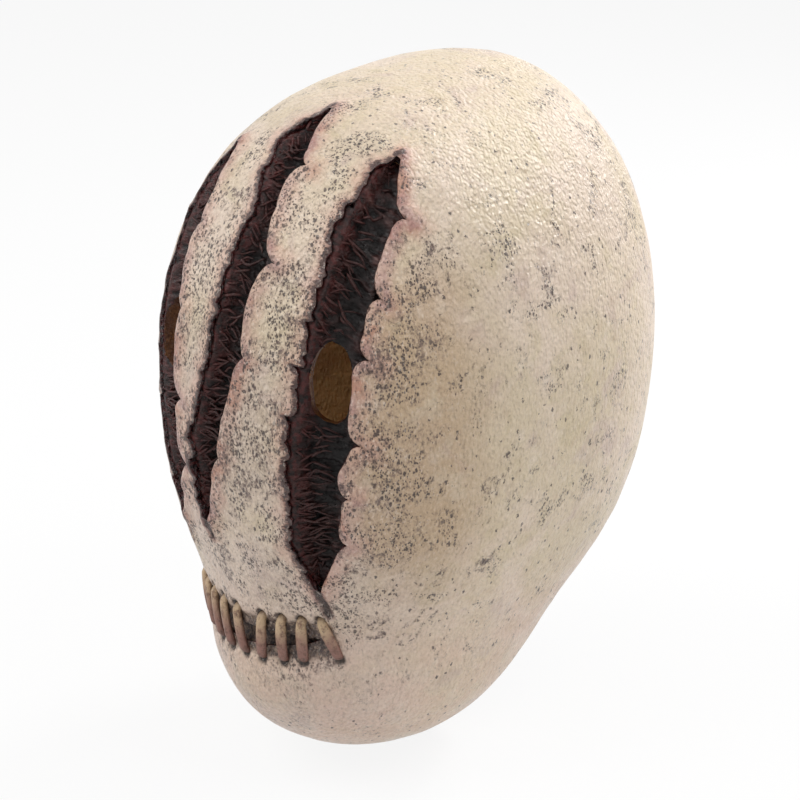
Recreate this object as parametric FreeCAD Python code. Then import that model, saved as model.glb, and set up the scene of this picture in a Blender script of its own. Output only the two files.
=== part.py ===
"""Full-head slashed mask: a cast latex head shell with a slanting neck opening, three claw gashes
that are backed by sunken torn-flesh liners, two eye holes, and a mouth sewn shut with cord stitches.

Frame, in millimetres: +X to the wearer's left, -Y out of the face, +Z up. The origin is the centre
of the head cavity. Lean angles are in degrees, measured about X: 0 is straight ahead, 90 straight up.
"""
import FreeCAD, Part
import math
import os

V = FreeCAD.Vector

# ---- Head form: three rounded lobes, blended. half = half width, depth and height; at = centre in Y, Z.
CRANIUM = {"half": (84.0, 104.0, 119.0), "at": (3.0, 27.0), "fullness": 2.3}
OCCIPUT = {"half": (50.0, 50.0, 85.0), "at": (48.0, 43.0), "fullness": 2.0}
JAW = {"half": (56.0, 68.0, 52.0), "at": (-19.0, -80.0), "fullness": 1.9}
LOBES = (CRANIUM, OCCIPUT, JAW)
BLEND = 6.0                    # a higher value gives a tighter valley between the lobes
WALL = 3.0                     # latex thickness

# ---- Neck opening: one slanting trim plane.
NECK_Y, NECK_Z = 100.0, -30.0  # a point of the plane, at the nape
NECK_SLOPE = 45.0              # how steeply the plane falls towards the chin, in degrees

# ---- Claw gashes. x = side offset of the belly, low and high = lean of the two tips, width = widest
# cut, bow = how far both tips stand in towards the face's middle, drift = how far the lower tip
# stands to the wearer's left of the upper one.
GASHES = {
    "right": {"x": -37.0, "low": -12.0, "high": 64.0, "width": 20.0, "bow": 6.0, "drift": 0.0},
    "centre": {"x": -1.0, "low": -6.0, "high": 74.0, "width": 18.0, "bow": 0.0, "drift": -11.0},
    "left": {"x": 45.0, "low": -17.0, "high": 73.0, "width": 23.0, "bow": 9.0, "drift": 2.0},
}
GASH_FULLNESS = 0.7            # how blunt the cut's outline is: 1 is a sine arch, less is fuller
OUTLINE_POINTS = 9             # points along each edge of a cut

# ---- Eye holes, through the liners of the two outer gashes.
EYES_X = {"right": -38.0, "left": 46.0}
EYE_Z = 56.0
EYE_WIDTH, EYE_HEIGHT = 13.0, 29.0

# ---- Mouth: a lens-shaped cut, and hand-placed stitches as (top, foot) side offsets.
MOUTH_Z = -59.5                # at the middle
MOUTH_LENGTH = 66.0
MOUTH_CURL = 2.0               # how far its corners stand above its middle
MOUTH_TILT = 0.08              # rise per length towards the wearer's left: it is sewn up crooked
MOUTH_HEIGHT = 7.0
STITCHES = ((-38.0, -33.0), (-31.0, -25.0), (-23.5, -17.0), (-15.0, -8.5), (-5.5, 0.5),
            (9.0, 9.5), (18.5, 19.0), (27.0, 26.5), (34.5, 38.5))
STITCH_CORD = 3.8              # cord diameter
STITCH_CLEARANCE = 0.3         # round the cord, in its hole and over the skin
STITCH_MARGIN = 1.5            # web of latex between a hole and the mouth's liner
CORD_BEND = 2.4                # radius of the cord's centreline where it turns into a hole
KNOT = 5.6                     # diameter of the knot that holds a stitch inside

# ---- Liners glued behind the cuts.
LINER = 2.5                    # liner thickness
GASH_LAP = 6.0                 # how far a gash liner reaches past its cut
GASH_SINK = 4.0                # how far it sinks away behind the cut's widest place
MOUTH_LAP = 2.5                # the same two sizes for the mouth's liner
MOUTH_SINK = 1.5
SEAT_GAP = 0.5                 # glue line between the wall and a liner or a knot

# ---- Surface grids. The form is sampled from its upper front, out past the neck trim.
FORM_SPANS = 44                # each way
LINER_SPANS = (12, 24)         # across and along
POLE_LEAN = 45.0               # the form grid's centre, straight opposite the neck opening
REACH = 160.0                  # angle from the form grid's centre to its edge
TRIM_BLOCK = 500.0             # larger than the head every way


def lobe_value(lobe, p):
    """(s, gradient of s) of one lobe: s is 1 on its surface and grows outwards from its centre."""
    centre = (0.0, lobe["at"][0], lobe["at"][1])
    e = lobe["fullness"]
    u = [(p[i] - centre[i]) / lobe["half"][i] for i in range(3)]
    s = max(sum(abs(c) ** e for c in u), 1e-9) ** (1 / e)
    grad = [s ** (1 - e) * abs(c) ** (e - 1) * math.copysign(1, c) / h for c, h in zip(u, lobe["half"])]
    return s, grad


def form_value(p):
    """(value, gradient) of the blended head form. The value is 1 on the skin and less inside it."""
    parts = [lobe_value(lobe, p) for lobe in LOBES]
    value = sum(s ** -BLEND for s, _ in parts) ** (-1 / BLEND)
    grad = [value ** (BLEND + 1) * sum(s ** (-BLEND - 1) * g[i] for s, g in parts) for i in range(3)]
    return value, V(*grad)


def skin_along(start, direction):
    """The skin's point on the ray from a start inside the head, and the skin's normal there."""
    low, high = 0.0, TRIM_BLOCK
    for _ in range(45):
        mid = (low + high) / 2
        if form_value(start + direction * mid)[0] < 1:
            low = mid
        else:
            high = mid
    point = start + direction * low
    return point, form_value(point)[1].normalize()


def skin_front(x, z):
    """The face's point straight ahead of (x, z), and its normal."""
    return skin_along(V(x, 0, z), V(0, -1, 0))


def mouth_level(x):
    """Height of the mouth's middle line at a side offset."""
    return MOUTH_Z + MOUTH_TILT * x + MOUTH_CURL * (2 * x / MOUTH_LENGTH) ** 2


def lean_direction(lean):
    """Unit vector in the YZ plane at a lean angle."""
    return V(0, -math.cos(math.radians(lean)), math.sin(math.radians(lean)))


def form_direction(a, b):
    """Direction of the form grid's point (a, b), both from -1 to 1. The square maps to a disc, and
    the disc wraps round the head from its upper front."""
    u = a * math.sqrt(1 - b * b / 2)
    v = b * math.sqrt(1 - a * a / 2)
    rho = math.hypot(u, v)
    if rho < 1e-9:
        return lean_direction(POLE_LEAN)
    angle = math.radians(REACH) * rho
    across = V(1, 0, 0) * (u / rho) + lean_direction(POLE_LEAN + 90) * (v / rho)
    return lean_direction(POLE_LEAN) * math.cos(angle) + across * math.sin(angle)


def steps(spans, low, high):
    return [low + (high - low) * i / spans for i in range(spans + 1)]


def layer(grid, thickness):
    """Closed solid under rows of (point, normal): the points are its outer face."""
    faces = []
    for depth in (0.0, thickness):
        surface = Part.BSplineSurface()
        surface.interpolate([[p - n * depth for p, n in row] for row in grid])
        faces.append(surface.toShape())
    sides = [Part.makeRuledSurface(a, b) for a, b in zip(faces[0].Edges, faces[1].Edges)]
    solid = Part.makeSolid(Part.Shell(faces + sides))
    return solid if solid.Volume > 0 else solid.reversed()


class Gash:
    """One claw cut. Its middle line runs up the face, and its edges stand half() to each side."""
    lap, sink = GASH_LAP, GASH_SINK

    def __init__(self, x, low, high, width, bow, drift):
        self.x, self.low, self.high = x, low, high
        self.width, self.bow, self.drift = width, bow, drift
        self.length = math.radians(high - low) * CRANIUM["half"][1]
        self.mid_lean = (low + high) / 2

    def fullness(self, along):
        """0 at both tips and 1 at the belly."""
        return math.sin(math.pi * min(max(along, 0.0), 1.0)) ** GASH_FULLNESS

    def half(self, along):
        return self.width / 2 * self.fullness(along)

    def spot(self, along, side):
        """(x, lean) of the place at a share of the length, side mm to the left of the middle line."""
        inwards = math.copysign(self.bow, self.x) * (2 * along - 1) ** 2
        middle = self.x - inwards + self.drift * (0.5 - along)
        return middle + side, self.low + (self.high - self.low) * along


class Mouth:
    """The mouth's cut. Its middle line runs across the face, and its edges stand half() up and down."""
    lap, sink = MOUTH_LAP, MOUTH_SINK
    length = MOUTH_LENGTH

    def __init__(self):
        self.mid_lean = self.spot(0.5, 0.0)[1]

    def fullness(self, along):
        return math.sqrt(max(1 - (2 * along - 1) ** 2, 0.0))

    def half(self, along):
        return MOUTH_HEIGHT / 2 * self.fullness(along)

    def spot(self, along, side):
        x = self.length * (along - 0.5)
        point, _ = skin_front(x, mouth_level(x) + side)
        return x, math.degrees(math.atan2(point.z, -point.y))


def cutter(cut):
    """Solid through the wall at a cut. Its sides run out from the X axis, so they cut square through."""
    out, up = lean_direction(cut.mid_lean), lean_direction(cut.mid_lean + 90)
    wires = []
    for distance in (CRANIUM["half"][1] / 4, CRANIUM["half"][1] * 2):
        curves = []
        for side in (-1, 1):
            edge = []
            for along in steps(OUTLINE_POINTS - 1, 0.0, 1.0):
                x, lean = cut.spot(along, side * cut.half(along))
                rise = distance * math.tan(math.radians(lean - cut.mid_lean))
                edge.append(V(x, 0, 0) + out * distance + up * rise)
            curve = Part.BSplineCurve()
            curve.interpolate(edge)
            curves.append(curve.toShape())
        wires.append(Part.Wire(curves))
    return Part.makeLoft(wires, True, True)


def liner(cut):
    """Trough behind a cut: its margin lies against the inside of the wall, and its middle sinks."""
    end = cut.lap / cut.length
    grid = []
    for along in steps(LINER_SPANS[1], -end, 1 + end):
        half = cut.half(along)
        row = []
        for share in steps(LINER_SPANS[0], -1.0, 1.0):
            side = share * (half + cut.lap)
            x, lean = cut.spot(along, side)
            point, normal = skin_along(V(x, 0, 0), lean_direction(lean))
            bowl = max(1 - (share * (half + cut.lap) / (half + cut.lap / 2)) ** 2, 0.0) ** 2
            depth = WALL + SEAT_GAP + cut.sink * cut.fullness(along) * bowl
            row.append((point - normal * depth, normal))
        grid.append(row)
    return layer(grid, LINER)


def eye_cutter(x):
    """Oval prism through a liner, square to the skin at the eye."""
    point, normal = skin_front(x, EYE_Z)
    depth = 2 * (WALL + SEAT_GAP + GASH_SINK + LINER)
    up = (V(0, 0, 1) - normal * normal.z).normalize()
    oval = Part.Ellipse()
    oval.MajorRadius, oval.MinorRadius = EYE_HEIGHT / 2, EYE_WIDTH / 2
    face = Part.Face(Part.Wire(oval.toShape()))
    face.Placement = FreeCAD.Placement(point - normal * depth, FreeCAD.Rotation(up, V(), normal, "ZXY"))
    return face.extrude(normal * depth * 2)


def hole_radius():
    return STITCH_CORD / 2 + STITCH_CLEARANCE


def stitch_seats():
    """For each stitch, its upper and its lower hole as (point on the skin, normal)."""
    rise = MOUTH_HEIGHT / 2 + MOUTH_LAP + STITCH_MARGIN + hole_radius()
    return [(skin_front(top, mouth_level(top) + rise), skin_front(foot, mouth_level(foot) - rise))
            for top, foot in STITCHES]


def stitch_drill(point, normal):
    reach = WALL + STITCH_CORD
    return Part.makeCylinder(hole_radius(), 2 * reach, point - normal * reach, normal)


def rounded_path(points, radius):
    """Wire through the points, with each inner corner rounded to the radius."""
    edges, start = [], points[0]
    for before, corner, after in zip(points, points[1:], points[2:]):
        back, ahead = (before - corner).normalize(), (after - corner).normalize()
        half_angle = back.getAngle(ahead) / 2
        first = corner + back * (radius / math.tan(half_angle))
        last = corner + ahead * (radius / math.tan(half_angle))
        middle = corner + (back + ahead).normalize() * (radius / math.sin(half_angle) - radius)
        edges.append(Part.LineSegment(start, first).toShape())
        edges.append(Part.Arc(first, middle, last).toShape())
        start = last
    edges.append(Part.LineSegment(start, points[-1]).toShape())
    return Part.Wire(edges)


def stitch(upper, lower):
    """One stitch: a cord out of its upper hole, over the mouth and into its lower hole, with a knot
    at each end against the inside of the wall."""
    (a, na), (b, nb) = upper, lower
    middle = (a + b) * 0.5
    crest, _ = skin_front(middle.x, middle.z)
    lift = STITCH_CORD / 2 + STITCH_CLEARANCE + (crest - middle).Length
    sink = WALL + SEAT_GAP + KNOT / 2
    path = rounded_path([a - na * sink, a + na * lift, b + nb * lift, b - nb * sink], CORD_BEND)
    ring = Part.Wire(Part.Circle(a - na * sink, na, STITCH_CORD / 2).toShape())
    cord = path.makePipeShell([ring], True, True)
    knots = [Part.makeSphere(KNOT / 2, point - normal * sink) for point, normal in (upper, lower)]
    return cord.multiFuse(knots).removeSplitter()


def neck_trim():
    """A block that takes away everything below and behind the neck opening's plane."""
    block = Part.makeBox(TRIM_BLOCK, TRIM_BLOCK, TRIM_BLOCK, V(-TRIM_BLOCK / 2, -TRIM_BLOCK / 2, -TRIM_BLOCK))
    block.rotate(V(0, 0, 0), V(1, 0, 0), NECK_SLOPE)
    block.translate(V(0, NECK_Y, NECK_Z))
    return block


def build():
    """Every node of the mask, by name."""
    gashes = {name: Gash(**sizes) for name, sizes in GASHES.items()}
    mouth = Mouth()
    seats = stitch_seats()

    samples = steps(FORM_SPANS, -1.0, 1.0)
    form = [[skin_along(V(0, 0, 0), form_direction(a, b)) for a in samples] for b in samples]
    drills = [stitch_drill(*seat) for pair in seats for seat in pair]
    cuts = [neck_trim(), cutter(mouth)] + [cutter(gash) for gash in gashes.values()] + drills
    nodes = {"head_shell": layer(form, WALL).cut(cuts)}

    for name, gash in gashes.items():
        nodes["gash_liner_" + name] = liner(gash)
    for name, x in EYES_X.items():
        nodes["gash_liner_" + name] = nodes["gash_liner_" + name].cut(eye_cutter(x))
    nodes["mouth_liner"] = liner(mouth)
    for number, (upper, lower) in enumerate(seats, 1):
        nodes[f"mouth_stitch_{number}"] = stitch(upper, lower)
    return nodes


def main():
    os.makedirs("parts", exist_ok=True)
    for name, shape in build().items():
        print(name, "solids", len(shape.Solids), "valid", shape.isValid(), "mm3", round(shape.Volume))
        Part.makeCompound(shape.Solids).exportStep(f"parts/{name}.step")


main()
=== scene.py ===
import math

import bmesh
import bpy
import numpy as np
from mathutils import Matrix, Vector


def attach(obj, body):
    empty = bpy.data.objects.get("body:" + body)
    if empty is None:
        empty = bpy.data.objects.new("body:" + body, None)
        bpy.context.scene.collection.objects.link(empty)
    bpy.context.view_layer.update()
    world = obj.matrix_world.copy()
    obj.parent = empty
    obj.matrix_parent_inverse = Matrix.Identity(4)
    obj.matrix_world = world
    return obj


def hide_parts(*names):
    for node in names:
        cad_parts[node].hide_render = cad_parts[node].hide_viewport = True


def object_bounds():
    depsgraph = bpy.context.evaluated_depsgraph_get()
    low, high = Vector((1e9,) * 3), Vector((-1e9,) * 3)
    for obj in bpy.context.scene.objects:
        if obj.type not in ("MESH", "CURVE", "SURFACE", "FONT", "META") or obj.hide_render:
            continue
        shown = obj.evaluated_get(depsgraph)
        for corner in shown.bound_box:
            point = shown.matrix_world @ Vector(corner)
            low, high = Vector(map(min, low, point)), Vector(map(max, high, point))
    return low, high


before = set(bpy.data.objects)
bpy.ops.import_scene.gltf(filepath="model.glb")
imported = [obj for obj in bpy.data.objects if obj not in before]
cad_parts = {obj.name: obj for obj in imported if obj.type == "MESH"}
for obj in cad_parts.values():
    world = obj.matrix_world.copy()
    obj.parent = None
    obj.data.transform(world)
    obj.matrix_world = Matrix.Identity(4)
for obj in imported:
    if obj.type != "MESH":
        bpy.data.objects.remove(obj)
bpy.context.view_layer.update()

MM = 0.001

# ---- head form, as in the CAD model
CRANIUM = {"half": (84.0, 104.0, 119.0), "at": (0.0, 3.0, 27.0), "fullness": 2.3}
OCCIPUT = {"half": (50.0, 50.0, 85.0), "at": (0.0, 48.0, 43.0), "fullness": 2.0}
JAW = {"half": (56.0, 68.0, 52.0), "at": (0.0, -19.0, -80.0), "fullness": 1.9}
BLEND = 6.0
WALL = 3.0
SEAT_GAP = 0.5
LINER = 2.5
NECK_POINT = np.array([0.0, 100.0, -30.0])
NECK_NORMAL = np.array([0.0, 1.0, -1.0]) / math.sqrt(2)
POLE_LEAN = 45.0
CHIN_LEAN, CROWN_LEAN = -41.0, 78.0

# ---- gashes: the middle line and the width of each cut, at a few lean angles. cusps = where the near
# edge's lobes meet, eye = the eye hole's side offset, tail = the lean at which a shallow groove runs out.
GASHES = {
    "right": {"lean": (-12, -5, 4, 14, 25, 36, 47, 56, 61, 66),
              "middle": (-29, -30.5, -30.5, -33, -35, -36, -36.5, -34.5, -33, -30),
              "width": (0, 10, 17, 20, 21, 21, 19, 18, 12, 0),
              "cusps": (-12, 6, 20, 37, 51, 66), "eye": -38.0, "tail": -18.0},
    "centre": {"lean": (-8, -2, 6, 13, 20, 27, 34, 41, 48, 54, 61, 66, 71, 75),
               "middle": (-9.5, -9, -7.5, -6.5, -2, 2.5, 4.5, 5, 6, 6, 1.5, -0.5, 0, 1.5),
               "width": (0, 9, 11, 17, 17, 16, 16, 15, 17, 11, 12.5, 17, 7.5, 0),
               "cusps": (-8, 11, 32.5, 48.5, 63.5, 75), "eye": None, "tail": -11.0},
    "left": {"lean": (-20, -15, -5, 5, 15, 22, 28, 34, 42, 50, 56, 63, 68, 73),
             "middle": (38, 39, 40.5, 42, 42, 44, 45, 45.5, 45, 45.5, 43.5, 42, 39.5, 37),
             "width": (0, 6, 17, 17.5, 18.5, 18.5, 17.5, 16.5, 15.5, 16.5, 16.5, 15, 10.5, 0),
             "cusps": (-20, -4, 9.5, 23.5, 41.5, 52, 65.4, 73), "eye": 46.0, "tail": -27.0},
}
EYE_Z = 56.0
EYE_HALF = (6.5, 14.5)
GASH_SINK = 4.0
GASH_LAP = 6.0

# ---- mouth and stitches
MOUTH_Z = -59.5
MOUTH_TILT = 0.08
MOUTH_CURL = 2.0
MOUTH_HALF = (33.0, 3.5)
MOUTH_SINK = 1.5
MOUTH_LAP = 2.5
STITCHES = ((-38.0, -33.0), (-31.0, -25.0), (-23.5, -17.0), (-15.0, -8.5), (-5.5, 0.5),
            (9.0, 9.5), (18.5, 19.0), (27.0, 26.5), (34.5, 38.5))
STITCH_CORD = 3.8
STITCH_RISE = 9.7
KNOT = 5.6
MOUTH_LEAN = -33.0
MOUTH_LEAN_HALF = 2.2


# ======== vectors and noise ========

def unit(v):
    return v / np.maximum(np.linalg.norm(v, axis=-1, keepdims=True), 1e-12)


def smooth(x, low, high):
    """0 below low, 1 above high, and a smooth step between."""
    t = np.clip((x - low) / (high - low), 0.0, 1.0)
    return t * t * (3 - 2 * t)


def lattice(cells, seed):
    """A fixed value from -1 to 1 at each whole-number lattice point, by mixing its three numbers."""
    mixed = (cells[..., 0] * 73856093) ^ (cells[..., 1] * 19349663) ^ (cells[..., 2] * 83492791)
    mixed = (mixed ^ (seed * 2654435761)) & 0xFFFFFFFF
    mixed = ((mixed ^ (mixed >> 15)) * 2246822519) & 0xFFFFFFFF
    mixed = ((mixed ^ (mixed >> 13)) * 3266489917) & 0xFFFFFFFF
    return ((mixed ^ (mixed >> 16)) & 0xFFFF) / 32767.5 - 1.0


def lumps(points, size, seed):
    """Value noise from -1 to 1: lattice values a size apart, blended with a smooth step each way."""
    p = np.asarray(points, float) / size
    base = np.floor(p).astype(np.int64)
    t = p - base
    t = t * t * (3 - 2 * t)
    total = 0.0
    for dx in (0, 1):
        for dy in (0, 1):
            for dz in (0, 1):
                weight = (np.where(dx, t[..., 0], 1 - t[..., 0]) * np.where(dy, t[..., 1], 1 - t[..., 1])
                          * np.where(dz, t[..., 2], 1 - t[..., 2]))
                total = total + weight * lattice(base + np.array([dx, dy, dz]), seed)
    return total


def wander(along, size, seed):
    """The same noise along one line."""
    along = np.asarray(along, float)
    return lumps(np.stack([along, along * 0 + 0.37 * size, along * 0 + 0.71 * size], -1), size, seed)


# ======== head form ========

def lobe_scales(p):
    """For each lobe, a superellipsoid: (s, scaled offset, lobe). s is the e-th root of the summed
    e-th powers of the scaled offsets, so it is 1 on the lobe."""
    scales = []
    for lobe in (CRANIUM, OCCIPUT, JAW):
        u = (p - np.array(lobe["at"])) / np.array(lobe["half"])
        powers = (np.abs(u) ** lobe["fullness"]).sum(-1)
        scales.append((np.maximum(powers, 1e-9) ** (1 / lobe["fullness"]), u, lobe))
    return scales


def form_value(p):
    """1 on the skin and less inside: (sum of s to the -BLEND) to the (-1 / BLEND)."""
    return sum(s ** -BLEND for s, _, _ in lobe_scales(p)) ** (-1 / BLEND)


def form_normal(p):
    """The blend's gradient, made a unit vector: each lobe's own gradient counts by s to the -BLEND - 1."""
    total = 0.0
    for s, u, lobe in lobe_scales(p):
        e = lobe["fullness"]
        grad = s[..., None] ** (1 - e) * np.abs(u) ** (e - 1) * np.sign(u) / np.array(lobe["half"])
        total = total + (s ** (-BLEND - 1))[..., None] * grad
    return unit(total)


def skin_along(start, direction):
    """Skin points on rays from inside the head, by halving, with their normals."""
    start = np.broadcast_to(start, direction.shape)
    low = np.zeros(direction.shape[:-1])
    high = np.full(direction.shape[:-1], 400.0)
    for _ in range(32):
        mid = (low + high) / 2
        inside = form_value(start + direction * mid[..., None]) < 1
        low, high = np.where(inside, mid, low), np.where(inside, high, mid)
    points = start + direction * low[..., None]
    return points, form_normal(points)


def lean_direction(lean):
    lean = np.radians(np.asarray(lean, float))
    return np.stack([lean * 0, -np.cos(lean), np.sin(lean)], -1)


def skin_at(x, lean):
    """Skin where a side offset meets a lean angle."""
    x, lean = np.broadcast_arrays(np.asarray(x, float), np.asarray(lean, float))
    start = np.stack([x, x * 0, x * 0], -1)
    return skin_along(start, lean_direction(lean))


def skin_front(x, z):
    """Skin straight ahead of (x, z)."""
    x, z = np.broadcast_arrays(np.asarray(x, float), np.asarray(z, float))
    ahead = np.broadcast_to(np.array([0.0, -1.0, 0.0]), x.shape + (3,))
    return skin_along(np.stack([x, x * 0, z], -1), ahead)


POLE = lean_direction(POLE_LEAN)
POLE_UP = lean_direction(POLE_LEAN + 90)


def polar_direction(angle, turn):
    """Direction at an angle from the pole, turned about it. angle and turn are in radians."""
    across = np.cos(turn)[..., None] * np.array([1.0, 0.0, 0.0]) + np.sin(turn)[..., None] * POLE_UP
    return POLE * np.cos(angle)[..., None] + across * np.sin(angle)[..., None]


def rim_table(depth):
    """Angle from the pole at which a layer this deep under the skin meets the neck's trim plane."""
    turn = np.linspace(-math.pi, math.pi, 361)
    low, high = turn * 0 + 1.2, turn * 0 + 3.1
    for _ in range(30):
        mid = (low + high) / 2
        points, normals = skin_along(np.zeros(3), polar_direction(mid, turn))
        above = ((points - normals * depth - NECK_POINT) @ NECK_NORMAL) < 0
        low, high = np.where(above, mid, low), np.where(above, high, mid)
    return turn, low


RIM_OUTER = rim_table(0.0)
RIM_INNER = rim_table(WALL)


def sheet_direction(a, b, depth):
    """Direction of the head sheet's point (a, b), both from -1 to 1. The square maps to a disc, u being
    a times the root of (1 - b * b / 2), and the disc wraps round the head with its edge on the neck's rim."""
    u = a * np.sqrt(1 - b * b / 2)
    v = b * np.sqrt(1 - a * a / 2)
    rho, turn = np.hypot(u, v), np.arctan2(v, u)
    outer = np.interp(turn, *RIM_OUTER)
    rim = outer + (np.interp(turn, *RIM_INNER) - outer) * rho ** 6 * (depth > 0)
    return polar_direction(rho * rim, turn)


def sheet_place(points):
    """(a, b) of skin points: the inverse of sheet_direction on the outer skin."""
    d = unit(points)
    turn = np.arctan2(d @ POLE_UP, d[..., 0])
    rho = np.arccos(np.clip(d @ POLE, -1, 1)) / np.interp(turn, *RIM_OUTER)
    u, v = rho * np.cos(turn), rho * np.sin(turn)
    root = 2 * math.sqrt(2)
    a = 0.5 * (np.sqrt(2 + u * u - v * v + root * u) - np.sqrt(2 + u * u - v * v - root * u))
    b = 0.5 * (np.sqrt(2 - u * u + v * v + root * v) - np.sqrt(2 - u * u + v * v - root * v))
    return a, b


# ======== meshes ========

class Patchwork:
    """Collects grids of points that share edges, and makes one closed mesh of them."""

    def __init__(self):
        self.points, self.quads, self.triangles = [], [], []
        self.marks, self.count = {}, 0

    def add(self, grid, **marks):
        """Adds points and returns their numbers in the grid's shape. A mark is a number per point."""
        flat = grid.reshape(-1, 3)
        numbers = np.arange(self.count, self.count + len(flat)).reshape(grid.shape[:-1])
        self.points.append(flat)
        for name, values in marks.items():
            store = self.marks.setdefault(name, [])
            store.append((self.count, np.broadcast_to(values, grid.shape[:-1]).ravel()))
        self.count += len(flat)
        return numbers

    def skin(self, numbers, keep=None, flip=False):
        """Quads between neighbours in a grid of point numbers."""
        quads = np.stack([numbers[:-1, :-1], numbers[:-1, 1:], numbers[1:, 1:], numbers[1:, :-1]], -1)
        quads = quads.reshape(-1, 4) if keep is None else quads[keep]
        self.quads.append(quads[:, ::-1] if flip else quads)

    def band(self, loops, flip=False):
        """Quads between closed loops of point numbers, each loop a row."""
        loops = np.stack(loops)
        self.skin(np.concatenate([loops, loops[:, :1]], 1), flip=flip)

    def hem(self, top, under):
        """Joins two layers round their outer edge."""
        rows, columns = block_loop(0, top.shape[0] - 1, 0, top.shape[1] - 1)
        self.band([top[rows, columns], under[rows, columns]])

    def fan(self, ring, tip, flip=False):
        """Triangles from a closed ring of point numbers to one tip point."""
        ends = np.roll(ring, -1)
        sides = np.stack([ring, ends, np.full_like(ring, tip)], -1)
        self.triangles.append(sides[:, ::-1] if flip else sides)

    def make(self, name, material, cad_nodes=()):
        """The finished piece: normals outwards, smooth shaded, riding on the mask."""
        points = np.concatenate(self.points) * MM
        quads = np.concatenate(self.quads)
        triangles = np.concatenate(self.triangles) if self.triangles else np.zeros((0, 3), int)
        corners = np.concatenate([quads.ravel(), triangles.ravel()])
        starts = np.concatenate([np.arange(len(quads)) * 4, len(quads) * 4 + np.arange(len(triangles)) * 3])
        mesh = bpy.data.meshes.new(name)
        mesh.vertices.add(len(points))
        mesh.vertices.foreach_set("co", points.ravel())
        mesh.loops.add(len(corners))
        mesh.loops.foreach_set("vertex_index", corners)
        mesh.polygons.add(len(starts))
        mesh.polygons.foreach_set("loop_start", starts)
        mesh.update(calc_edges=True)
        for mark, stores in self.marks.items():
            values = np.zeros(len(points))
            for first, part in stores:
                values[first:first + len(part)] = part
            mesh.attributes.new(mark, "FLOAT", "POINT").data.foreach_set("value", values)
        mesh.validate()
        work = bmesh.new()
        work.from_mesh(mesh)
        bmesh.ops.recalc_face_normals(work, faces=work.faces)
        work.to_mesh(mesh)
        work.free()
        mesh.polygons.foreach_set("use_smooth", np.ones(len(mesh.polygons), bool))
        mesh.materials.append(material)
        piece = bpy.data.objects.new(name, mesh)
        bpy.context.scene.collection.objects.link(piece)
        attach(piece, "root")
        if cad_nodes:
            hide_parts(*cad_nodes)
        return piece


def add_tube(work, path, width, thickness, out, sides=12, **marks):
    """A closed tube along a path: each ring is an ellipse, width across and thickness along the
    outward direction, and each end closes on the path's end point. A mark is a number per ring."""
    ahead = unit(np.gradient(path, axis=0))
    across = unit(np.cross(ahead, out))
    out = unit(np.cross(across, ahead))
    turn = np.linspace(0, 2 * math.pi, sides, endpoint=False)
    path_in, across, out, width, thickness = (v[1:-1, None] for v in (path, across, out, width, thickness))
    sideways, outwards = np.cos(turn) * width / 2, np.sin(turn) * thickness / 2
    rings = path_in + across * sideways[..., None] + out * outwards[..., None]
    on_rings = {}
    for name, values in marks.items():
        on_rings[name] = np.broadcast_to(values[1:-1, None], rings.shape[:2])
    numbers = work.add(rings, **on_rings)
    tips = work.add(path[[0, -1]], **{name: values[[0, -1]] for name, values in marks.items()})
    work.band(numbers)
    work.fan(numbers[0], tips[0], flip=True)
    work.fan(numbers[-1], tips[1])


# ======== gash outlines ========

def soften(values, width, ends="edge"):
    """A running mean, weighted by a raised cosine. ends says what lies past both ends: the end value,
    or with wrap the other end."""
    weight = np.hanning(width + 2)[1:-1]
    padded = np.pad(values, (width // 2, width - 1 - width // 2), mode=ends)
    return np.convolve(padded, weight / weight.sum(), "valid")


def gash_edges(gash, seed):
    """(lean, far edge, near edge) of a cut, finely sampled, as side offsets. The far edge stands to the
    wearer's right and is frayed: short noise on a saw of steps about 8 degrees apart. The near edge is
    torn in lobes: between cusps it swells into the cut, and at each cusp a spike runs back out, by the
    seventh power of the distance from the lobe's middle."""
    leans = np.array(gash["lean"], float)
    lean = np.linspace(leans[0], leans[-1], 500)
    middle = soften(np.interp(lean, leans, gash["middle"]), 25)
    width = np.interp(lean, leans, gash["width"])
    along = np.radians(lean) * CRANIUM["half"][1]
    narrow = np.clip(width / 8, 0.0, 1.0)
    notch = lean / 8.5 + 0.9 * wander(lean, 13.0, seed + 5)
    fray = (np.abs(wander(along, 1.5, seed)) * 2.3 + np.abs(wander(along, 4.5, seed + 1)) * 2.2
            + (notch - np.floor(notch)) ** 2 * (2.2 + 1.6 * wander(lean, 16.0, seed + 6)) - 1.2)
    far = middle - width / 2 - fray * narrow
    lobe = np.interp(lean, gash["cusps"], np.arange(len(gash["cusps"])))
    swell = np.abs(2 * (lobe - np.floor(lobe)) - 1) ** 7
    size = 4.8 + 2.2 * lattice(np.stack([np.round(lobe).astype(int)] * 3, -1), seed)
    ripple = 0.35 * np.abs(wander(along, 2.0, seed + 3)) + 1.1 * wander(along, 9.0, seed + 4)
    near = middle + width / 2 + (swell * size + 0.2 + ripple) * narrow
    return lean, far, near


# ======== head skin ========

OUT_COLUMNS, GAP_COLUMNS, CUT_COLUMNS = 44, 16, 8
NAMES = ("right", "centre", "left")


def banded(low, high, count, start=1.0, end=1.0):
    """Fractions from low to high whose spacing runs from start to end in proportion."""
    steps = np.linspace(start, end, count)
    places = np.concatenate([[0.0], np.cumsum(steps)]) / steps.sum()
    return low + (high - low) * places


def row_levels():
    """Levels b of the head sheet's rows: fine over the gashes and the mouth, coarse at the neck and nape."""
    chin, crown = level_of_lean(CHIN_LEAN), level_of_lean(CROWN_LEAN)
    return np.concatenate([banded(-1.0, chin, 26, 3.0, 1.0)[:-1], banded(chin, crown, 226)[:-1],
                           banded(crown, 1.0, 46, 1.0, 5.0)])


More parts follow.
